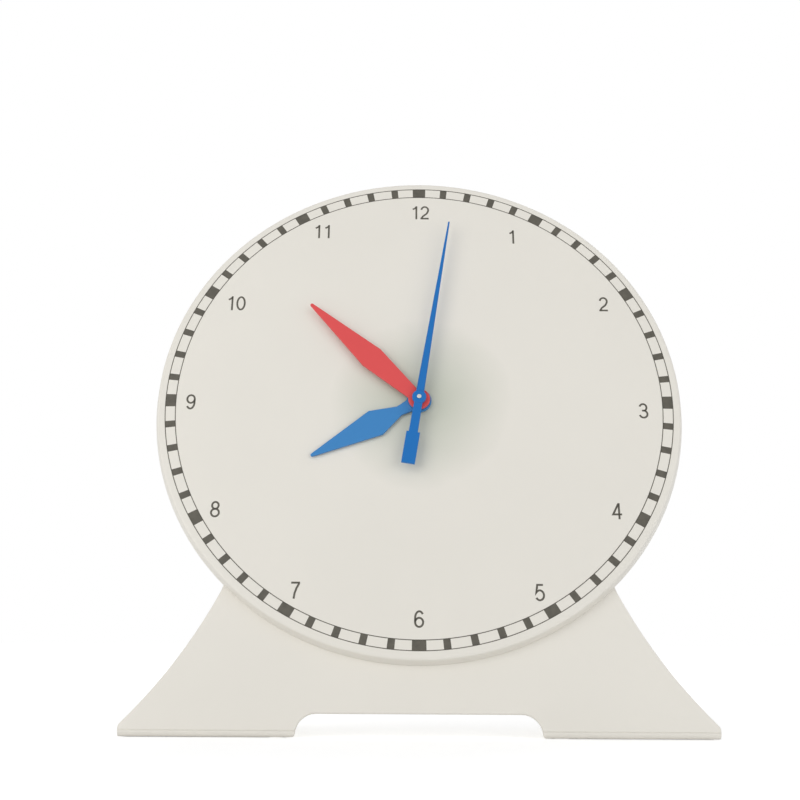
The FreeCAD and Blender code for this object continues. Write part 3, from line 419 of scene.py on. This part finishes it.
def worn_edges(tree):
    """1 along the sharp edges that hands and tables rub, unevenly, and 0 away from them."""
    rounded = tree.nodes.new("ShaderNodeBevel")
    rounded.samples = WORN_SAMPLES
    rounded.inputs["Radius"].default_value = WORN_WIDTH
    geometry = tree.nodes.new("ShaderNodeNewGeometry")
    facing = tree.nodes.new("ShaderNodeVectorMath")
    facing.operation = "DOT_PRODUCT"
    tree.links.new(rounded.outputs["Normal"], facing.inputs[0])
    tree.links.new(geometry.outputs["Normal"], facing.inputs[1])
    edge = mapped(tree, facing.outputs["Value"], 1.0, 1.0 - WORN_TURN, 0.0, 1.0)
    return combined(tree, "MULTIPLY", edge, between(tree, noise(tree, EDGE_WEAR), *WORN_SHARE))


def moulded(name, colour, roughness, mirror=DULL):
    """Moulded plastic: faint clouding, uneven sheen, the fine grain of the mould and edges rubbed smooth."""
    material, tree, shader = new_material(name)
    clouded = tinted(tree, noise(tree, CLOUDING), colour, CLOUD_CONTRAST)
    worn = worn_edges(tree)
    rubbed = [channel + (1.0 - channel) * RUBBED_PALER for channel in colour]
    tree.links.new(mixed(tree, worn, clouded, rubbed), shader.inputs["Base Color"])
    uneven = between(tree, noise(tree, UNEVEN_SHEEN), roughness - UNEVEN_BY, roughness + UNEVEN_BY)
    smoothed = combined(tree, "MULTIPLY", worn, -RUBBED_SMOOTHER)
    tree.links.new(combined(tree, "ADD", uneven, smoothed), shader.inputs["Roughness"])
    bumped(tree, shader, noise(tree, MOULD_GRAIN), *GRAIN_BUMP)
    shader.inputs["IOR"].default_value = PLASTIC_IOR
    shader.inputs["Specular IOR Level"].default_value = mirror
    return material


def dial_plastic():
    """The white plastic of the dial, with the shade of the gears behind it painted into its middle."""
    material = moulded("dial_plastic", WARM_WHITE, WHITE_ROUGHNESS)
    tree = material.node_tree
    colour = tree.nodes["Principled BSDF"].inputs["Base Color"]
    unshaded = colour.links[0].from_socket
    # Painted shade: the colour turns darker near the hand axis, where the gears behind the dial would shade it
    uneven = between(tree, noise(tree, RAGGED_SHADE), -SHADE_RAGGED, SHADE_RAGGED)
    ragged = combined(tree, "ADD", distance_from(tree, hand_centre), uneven)
    shade = mapped(tree, ragged, SHADE_CORE, SHADE_REACH, 1.0, 0.0)
    tree.links.new(mixed(tree, shade, unshaded, PAINTED_GEAR_SHADE), colour)
    return material


def turned_steel():
    """Bright turned steel with fine marks and a few dull patches."""
    material, tree, shader = new_material("turned_steel")
    shader.inputs["Metallic"].default_value = 1.0
    stained = tinted(tree, noise(tree, STEEL_STAINS), STEEL, STAIN_CONTRAST)
    tree.links.new(stained, shader.inputs["Base Color"])
    patches = between(tree, noise(tree, STEEL_PATCHES), *STEEL_ROUGHNESS)
    tree.links.new(patches, shader.inputs["Roughness"])
    bumped(tree, shader, noise(tree, STEEL_MARKS), *MARKS_BUMP)
    return material


def clear_plastic():
    """Clear polished plastic with faint flow marks."""
    material, tree, shader = new_material("clear_plastic")
    shader.inputs["Base Color"].default_value = (*CLEAR, 1.0)
    shader.inputs["Transmission Weight"].default_value = 1.0
    shader.inputs["IOR"].default_value = CLEAR_IOR
    haze = between(tree, noise(tree, CLEAR_HAZE), *CLEAR_ROUGHNESS)
    tree.links.new(haze, shader.inputs["Roughness"])
    bumped(tree, shader, noise(tree, FLOW_MARKS), *FLOW_BUMP)
    return material


def printed_ink():
    """Dark screen ink, a little thin in places."""
    material, tree, shader = new_material("printed_ink")
    thinned = tinted(tree, noise(tree, THIN_INK), INK_GREY, INK_CONTRAST)
    tree.links.new(thinned, shader.inputs["Base Color"])
    sheen = between(tree, noise(tree, INK_SHEEN), *INK_ROUGHNESS)
    tree.links.new(sheen, shader.inputs["Roughness"])
    bumped(tree, shader, noise(tree, INK_GRAIN), *INK_BUMP)
    return material


# Pieces


def new_piece(name, mesh, material, body):
    """Puts a mesh in the scene as a piece that rides on a body."""
    mesh.materials.clear()
    mesh.materials.append(material)
    piece = bpy.data.objects.new(name, mesh)
    bpy.context.scene.collection.objects.link(piece)
    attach(piece, body)
    return piece


def mesh_from(work, name):
    """Turns finished bmesh work into a mesh whose faces all look outward."""
    bmesh.ops.recalc_face_normals(work, faces=work.faces)
    mesh = bpy.data.meshes.new(name)
    work.to_mesh(mesh)
    work.free()
    return mesh


def smooth(piece):
    """Smooth shading that keeps broad flat faces flat."""
    piece.data.shade_smooth()
    weighted = piece.modifiers.new("weighted_normals", "WEIGHTED_NORMAL")
    weighted.mode = "FACE_AREA"
    weighted.weight = FLAT_FACE_WEIGHT
    weighted.keep_sharp = True


def with_modifiers(thing):
    """The mesh that an object's modifiers make of it."""
    bpy.context.view_layer.update()
    return bpy.data.meshes.new_from_object(thing.evaluated_get(bpy.context.evaluated_depsgraph_get()))


def box_of(points):
    """The lowest and the highest corner of the box round some points."""
    return ([pick(point[axis] for point in points) for axis in range(3)] for pick in (min, max))


def node_shape(node):
    """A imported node's surface, with split points joined and flat faces made whole."""
    work = bmesh.new()
    work.from_mesh(frame["nodes"][node].data)
    bmesh.ops.remove_doubles(work, verts=work.verts, dist=WELD)
    bmesh.ops.dissolve_limit(work, angle_limit=radians(FLAT_DEG), verts=work.verts, edges=work.edges)
    strips = [face for face in work.faces if face.calc_area() < face.calc_perimeter() * STRIP]
    bmesh.ops.triangulate(work, faces=[face for face in strips if len(face.verts) > 4])
    return work


def carved(mesh, cutter):
    """What is left of one mesh when another is cut out of it."""
    whole, tool = (bpy.data.objects.new(shape.name, shape) for shape in (mesh, cutter))
    for made in (whole, tool):
        bpy.context.scene.collection.objects.link(made)
    cut = whole.modifiers.new("cut", "BOOLEAN")
    cut.operation = "DIFFERENCE"
    cut.solver = "EXACT"
    cut.object = tool
    left = with_modifiers(whole)
    for made in (whole, tool):
        bpy.data.objects.remove(made)
    return left


def seam_cutter(mesh):
    """A long thin bar, half sunk in the stand's front face, that leaves a seam across both feet."""
    front = min((world_to_face @ vert.co).y for vert in mesh.vertices)
    rise = (SEAM_HEIGHT - (face_to_world @ Vector((0.0, front, 0.0))).z) / upward.z
    place = face_to_world @ Matrix.Translation((0.0, front, rise))
    size = Matrix.Diagonal((SEAM_LENGTH, 2 * SEAM_DEPTH, SEAM_WIDTH, 1.0))
    work = bmesh.new()
    bmesh.ops.create_cube(work, size=1.0, matrix=place @ size)
    return mesh_from(work, "seam")


def eased_copy(node, width, material, body, cutter_for=None):
    """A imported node's shape with its sharp edges eased, inside the node's own box. It stands for the node.

    Where cutter_for is given, it makes a cutter from the eased mesh, and that is carved out of it.
    """
    mesh = mesh_from(node_shape(node), node + "_eased")
    piece = new_piece(node + "_eased", mesh, material, body)
    low, high = box_of([vert.co for vert in mesh.vertices])
    bevel = piece.modifiers.new("eased_edges", "BEVEL")
    bevel.width = width
    bevel.segments = EASE_SEGMENTS
    bevel.limit_method = "ANGLE"
    bevel.angle_limit = radians(EASE_ANGLE_DEG)
    bevel.use_clamp_overlap = False
    bevel.loop_slide = False
    eased = with_modifiers(piece)
    for vert in eased.vertices:
        vert.co = [min(max(value, least), most) for value, least, most in zip(vert.co, low, high)]
    if cutter_for:
        eased = carved(eased, cutter_for(eased))
        eased.set_sharp_from_angle(angle=radians(SHARP_DEG))
    piece.modifiers.clear()
    piece.data = eased
    smooth(piece)
    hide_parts(node)


# Printing


def bow(x, z, half_width, half_height, start_deg, end_deg):
    """Points along part of an oval, where 0 degrees points right and 90 up."""
    steps = max(2, round(abs(end_deg - start_deg) / BOW_STEP_DEG))
    turns = [radians(start_deg + (end_deg - start_deg) * k / steps) for k in range(steps + 1)]
    return [(x + half_width * cos(turn), z + half_height * sin(turn)) for turn in turns]


# Lines of the digits, in shares of a numeral's height from the middle of its foot, and in degrees for bows
NINE_SHARES = [bow(0.0, 0.69, 0.225, 0.26, 0, 360), bow(-0.01, 0.44, 0.235, 0.39, -145, 0) + [(0.225, 0.69)]]
DIGIT_SHARES = {
    "0": [bow(0.0, 0.5, 0.235, 0.45, 0, 360)],
    "1": [[(0.07, 0.0), (0.07, 1.0)], [(0.08, 0.93), (-0.03, 0.83), (-0.16, 0.76)]],
    "2": [bow(0.0, 0.7, 0.22, 0.25, 172, -22) + [(0.12, 0.43), (-0.13, 0.22), (-0.22, 0.06)],
          [(-0.28, 0.05), (0.25, 0.05)]],
    "3": [bow(-0.01, 0.725, 0.205, 0.225, 165, -75), bow(-0.01, 0.285, 0.235, 0.235, 80, -165),
          [(-0.09, 0.515), (0.05, 0.515)]],
    "4": [[(0.1, 0.97), (-0.235, 0.3), (0.28, 0.3)], [(0.12, 0.0), (0.12, 1.0)]],
    "5": [[(0.2, 0.945), (-0.13, 0.945), (-0.19, 0.5)] + bow(0.0, 0.33, 0.235, 0.29, 128, -150)],
    "6": [[(-x, 1.0 - z) for x, z in line] for line in NINE_SHARES],
    "7": [[(-0.25, 0.945), (0.25, 0.945)], [(0.21, 0.92), (0.06, 0.62), (-0.04, 0.32), (-0.08, 0.0)]],
    "8": [bow(0.0, 0.735, 0.19, 0.215, 0, 360), bow(0.0, 0.285, 0.23, 0.235, 0, 360)],
    "9": NINE_SHARES,
}


def ink_strip(work, points, width):
    """A thin closed strip of ink along a line of (x, z) points, which is a loop if its ends meet."""
    line = [Vector(point) for point in points]
    loop = (line[0] - line[-1]).length < WELD
    if loop:
        line.pop()
    count = len(line)
    rows = []
    for k, point in enumerate(line):
        before = line[k - 1] if k or loop else None
        after = line[(k + 1) % count] if k + 1 < count or loop else None
        ways = [way.normalized() for way in (before and point - before, after and after - point) if way]
        along = sum(ways, Vector((0.0, 0.0))).normalized()
        side = Vector((-along.y, along.x)) * (width / 2 / abs(along.dot(ways[0])))
        rows.append([work.verts.new((edge.x, depth, edge.y))
                     for edge, depth in ((point + side, -INK_THICKNESS), (point - side, -INK_THICKNESS),
                                         (point - side, INK_SUNK), (point + side, INK_SUNK))])
    for k in range(count if loop else count - 1):
        here, there = rows[k], rows[(k + 1) % count]
        for corner in range(4):
            following = (corner + 1) % 4
            work.faces.new([here[corner], here[following], there[following], there[corner]])
    if not loop:
        work.faces.new(rows[0])
        work.faces.new(rows[-1])


def print_lines(name, lines, width, ink):
    """Prints some lines on the dial's face as one piece."""
    work = bmesh.new()
    for line in lines:
        ink_strip(work, line, width)
    work.transform(face_to_world)
    new_piece(name, mesh_from(work, name), ink, "root")


def dial_arc(radius, start_deg, end_deg, steps):
    """Points along a circle of the printed ring, clockwise from twelve."""
    turns = [radians(start_deg + (end_deg - start_deg) * k / steps) for k in range(steps + 1)]
    return [(radius * sin(turn), RING_RISE + radius * cos(turn)) for turn in turns]


def print_ring(ink):
    """Two thin circles with the sixty marks between them, and a wider mark at each hour."""
    circles = [dial_arc(radius, 0.0, FULL_TURN_DEG, RING_STEPS) for radius in (RING_INNER, RING_OUTER)]
    print_lines("ring_lines", circles, RING_LINE, ink)
    marks = []
    for k in range(MARKS):
        middle = k * FULL_TURN_DEG / MARKS
        half = (MARK_DEG if k % MARKS_PER_HOUR else HOUR_MARK_DEG) / 2
        marks.append(dial_arc((RING_INNER + RING_OUTER) / 2, middle - half, middle + half, MARK_STEPS))
    print_lines("minute_marks", marks, RING_OUTER - RING_INNER, ink)


def print_numerals(ink):
    """The hours, upright and in plain digits."""
    for hour, place in NUMERAL_PLACES_MM.items():
        digits = str(hour)
        lines = []
        for k, digit in enumerate(digits):
            shift = DIGIT_APART_SHARE * (k - (len(digits) - 1) / 2)
            lines += [[(x + shift, z) for x, z in line] for line in DIGIT_SHARES[digit]]
        across = [x for line in lines for x, z in line]
        middle = (min(across) + max(across)) / 2
        lines = [[(place[0] * MM + (x - middle) * NUMERAL_HEIGHT,
                   place[1] * MM + (z - DIGIT_MIDDLE_SHARE) * NUMERAL_HEIGHT)
                  for x, z in line] for line in lines]
        print_lines("numeral_" + digits, lines, NUMERAL_LINE, ink)


# Screws


def first_corner(points):
    """Where a screw starts across the face and up it, which gives the screws their order."""
    return [round(min(point[axis] for point in points), PLACE_DECIMALS) for axis in (0, 2)]


def solids_of(node):
    """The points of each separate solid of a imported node, in the dial's frame."""
    work = node_shape(node)
    work.transform(world_to_face)
    left = set(work.verts)
    solids = []
    while left:
        reached = [left.pop()]
        for vert in reached:
            linked = [edge.other_vert(vert) for edge in vert.link_edges]
            fresh = [other for other in linked if other in left]
            left.difference_update(fresh)
            reached += fresh
        solids.append([vert.co.copy() for vert in reached])
    work.free()
    return sorted(solids, key=first_corner)


def turned(work, profile, steps):
    """Closed surface of revolution about Y from (radius, y) points that start and end on the axis."""
    rings = []
    for radius, y in profile:
        if radius == 0.0:
            rings.append([work.verts.new((0.0, y, 0.0))] * steps)
        else:
            turns = [2 * pi * k / steps for k in range(steps)]
            rings.append([work.verts.new((radius * cos(turn), y, radius * sin(turn))) for turn in turns])
    for ring, next_ring in zip(rings, rings[1:]):
        for k in range(steps):
            following = (k + 1) % steps
            corners = [ring[k], ring[following], next_ring[following], next_ring[k]]
            work.faces.new(list(dict.fromkeys(corners)))


def cross_cutter(half_width, reach, top, floor):
    """A cross that tapers as it goes down into a screw's head."""
    work = bmesh.new()
    rows = []
    for y, share in ((top, 1.0), (floor, CROSS_TAPER_SHARE)):
        half, arm = half_width * share, reach * share
        corner = [(half, arm), (half, half), (arm, half)]
        points = [(a * x + b * z, c * x + d * z) for a, b, c, d in QUARTER_TURNS for x, z in corner]
        rows.append([work.verts.new((x, y, z)) for x, z in points])
    for k in range(len(rows[0])):
        following = (k + 1) % len(rows[0])
        work.faces.new([rows[0][k], rows[0][following], rows[1][following], rows[1][k]])
    for row in rows:
        work.faces.new(row)
    return mesh_from(work, "cross")


def screw_profile(low, under_head, high, shank, head_radius):
    """Half of a screw's outline, from the end of its shank to the top of its domed head."""
    dome = (high - under_head) * DOME_SHARE
    turns = [pi / 2 * k / DOME_STEPS for k in range(DOME_STEPS)]
    stem = [(0.0, low), (shank - EASE_TURNED, low), (shank, low + EASE_TURNED), (shank, under_head)]
    rim = [(head_radius - EASE_TURNED, under_head), (head_radius, under_head + EASE_TURNED)]
    arc = [(head_radius * cos(turn), high - dome * (1.0 - sin(turn))) for turn in turns]
    return stem + rim + arc + [(0.0, high)]


def screw_mesh(name, points):
    """A screw in place of a plain packed one: domed head to the rear with a cross in it, and its shank."""
    low, high = box_of(points)
    x, z = (low[0] + high[0]) / 2, (low[2] + high[2]) / 2
    reaches = [(hypot(point.x - x, point.z - z), point.y) for point in points]
    head_radius = max(reach for reach, y in reaches)
    under_head = min(y for reach, y in reaches if reach > head_radius - EASE_TURNED)
    shank = max(reach for reach, y in reaches if y < under_head - EASE_TURNED)
    height = high[1] - under_head
    work = bmesh.new()
    turned(work, screw_profile(low[1], under_head, high[1], shank, head_radius), SCREW_STEPS)
    top = high[1] + height * DOME_SHARE
    floor = high[1] - height * CROSS_DEPTH_SHARE
    cross = cross_cutter(head_radius * CROSS_HALF_WIDTH_SHARE, head_radius * CROSS_REACH_SHARE, top, floor)
    mesh = carved(mesh_from(work, name), cross)
    mesh.transform(face_to_world @ Matrix.Translation((x, 0.0, z)))
    mesh.name = name
    return mesh


def make_screws(node, body, steel):
    """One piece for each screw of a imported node."""
    pieces = []
    for k, points in enumerate(solids_of(node)):
        name = node + "_" + str(k + 1)
        piece = new_piece(name, screw_mesh(name, points), steel, body)
        smooth(piece)
        pieces.append(piece)
    for piece in pieces:
        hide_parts(node)


# Scene

make_camera()
make_world()
make_floor()
for name, (place, size, power, colour) in LIGHTS.items():
    area_light(name, place, size, power, colour)

dial_white = dial_plastic()
white = moulded("white_plastic", WARM_WHITE, WHITE_ROUGHNESS)
red = moulded("red_plastic", RED, HAND_ROUGHNESS, DEEP)
hour_blue = moulded("hour_blue_plastic", HOUR_BLUE, HAND_ROUGHNESS, DEEP)
second_blue = moulded("second_blue_plastic", SECOND_BLUE, HAND_ROUGHNESS, DEEP)
ivory = moulded("ivory_plastic", IVORY, GEAR_ROUGHNESS)
steel = turned_steel()
clear = clear_plastic()
ink = printed_ink()

eased_copy("dial_plate", EASE_MOULDING, dial_white, "root")
eased_copy("stand", EASE_MOULDING, white, "root", seam_cutter)
eased_copy("gear_base", EASE_MOULDING, white, "root")
eased_copy("gear_cover", EASE_MOULDING, clear, "root")
eased_copy("hour_hand", EASE_HAND, hour_blue, "hour_train")
eased_copy("minute_hand", EASE_HAND, red, "minute_train")
eased_copy("second_hand", EASE_HAND, second_blue, "second_train")
eased_copy("setting_knob", EASE_MOULDING, white, "third_train")
for name, body in (("second_arbor", "second_train"), ("third_arbor", "third_train"), ("motion_post", "root")):
    eased_copy(name, EASE_TURNED, steel, body)
for name, body in (("stand_screws", "root"), ("case_screws", "root"), ("knob_screw", "third_train")):
    make_screws(name, body, steel)
print_ring(ink)
print_numerals(ink)

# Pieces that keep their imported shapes
kept = {
    "minute_pipe": red,
    "centre_wheel": red,
    "hour_wheel": hour_blue,
    "motion_wheel": ivory,
    "third_wheel": ivory,
    "second_pinion": ivory,
    "post_clip": steel,
    "friction_washer": steel,
}
for node, material in kept.items():
    for slot in frame["nodes"][node].material_slots:
        slot.material = material

bpy.context.scene.view_settings.view_transform = "Standard"
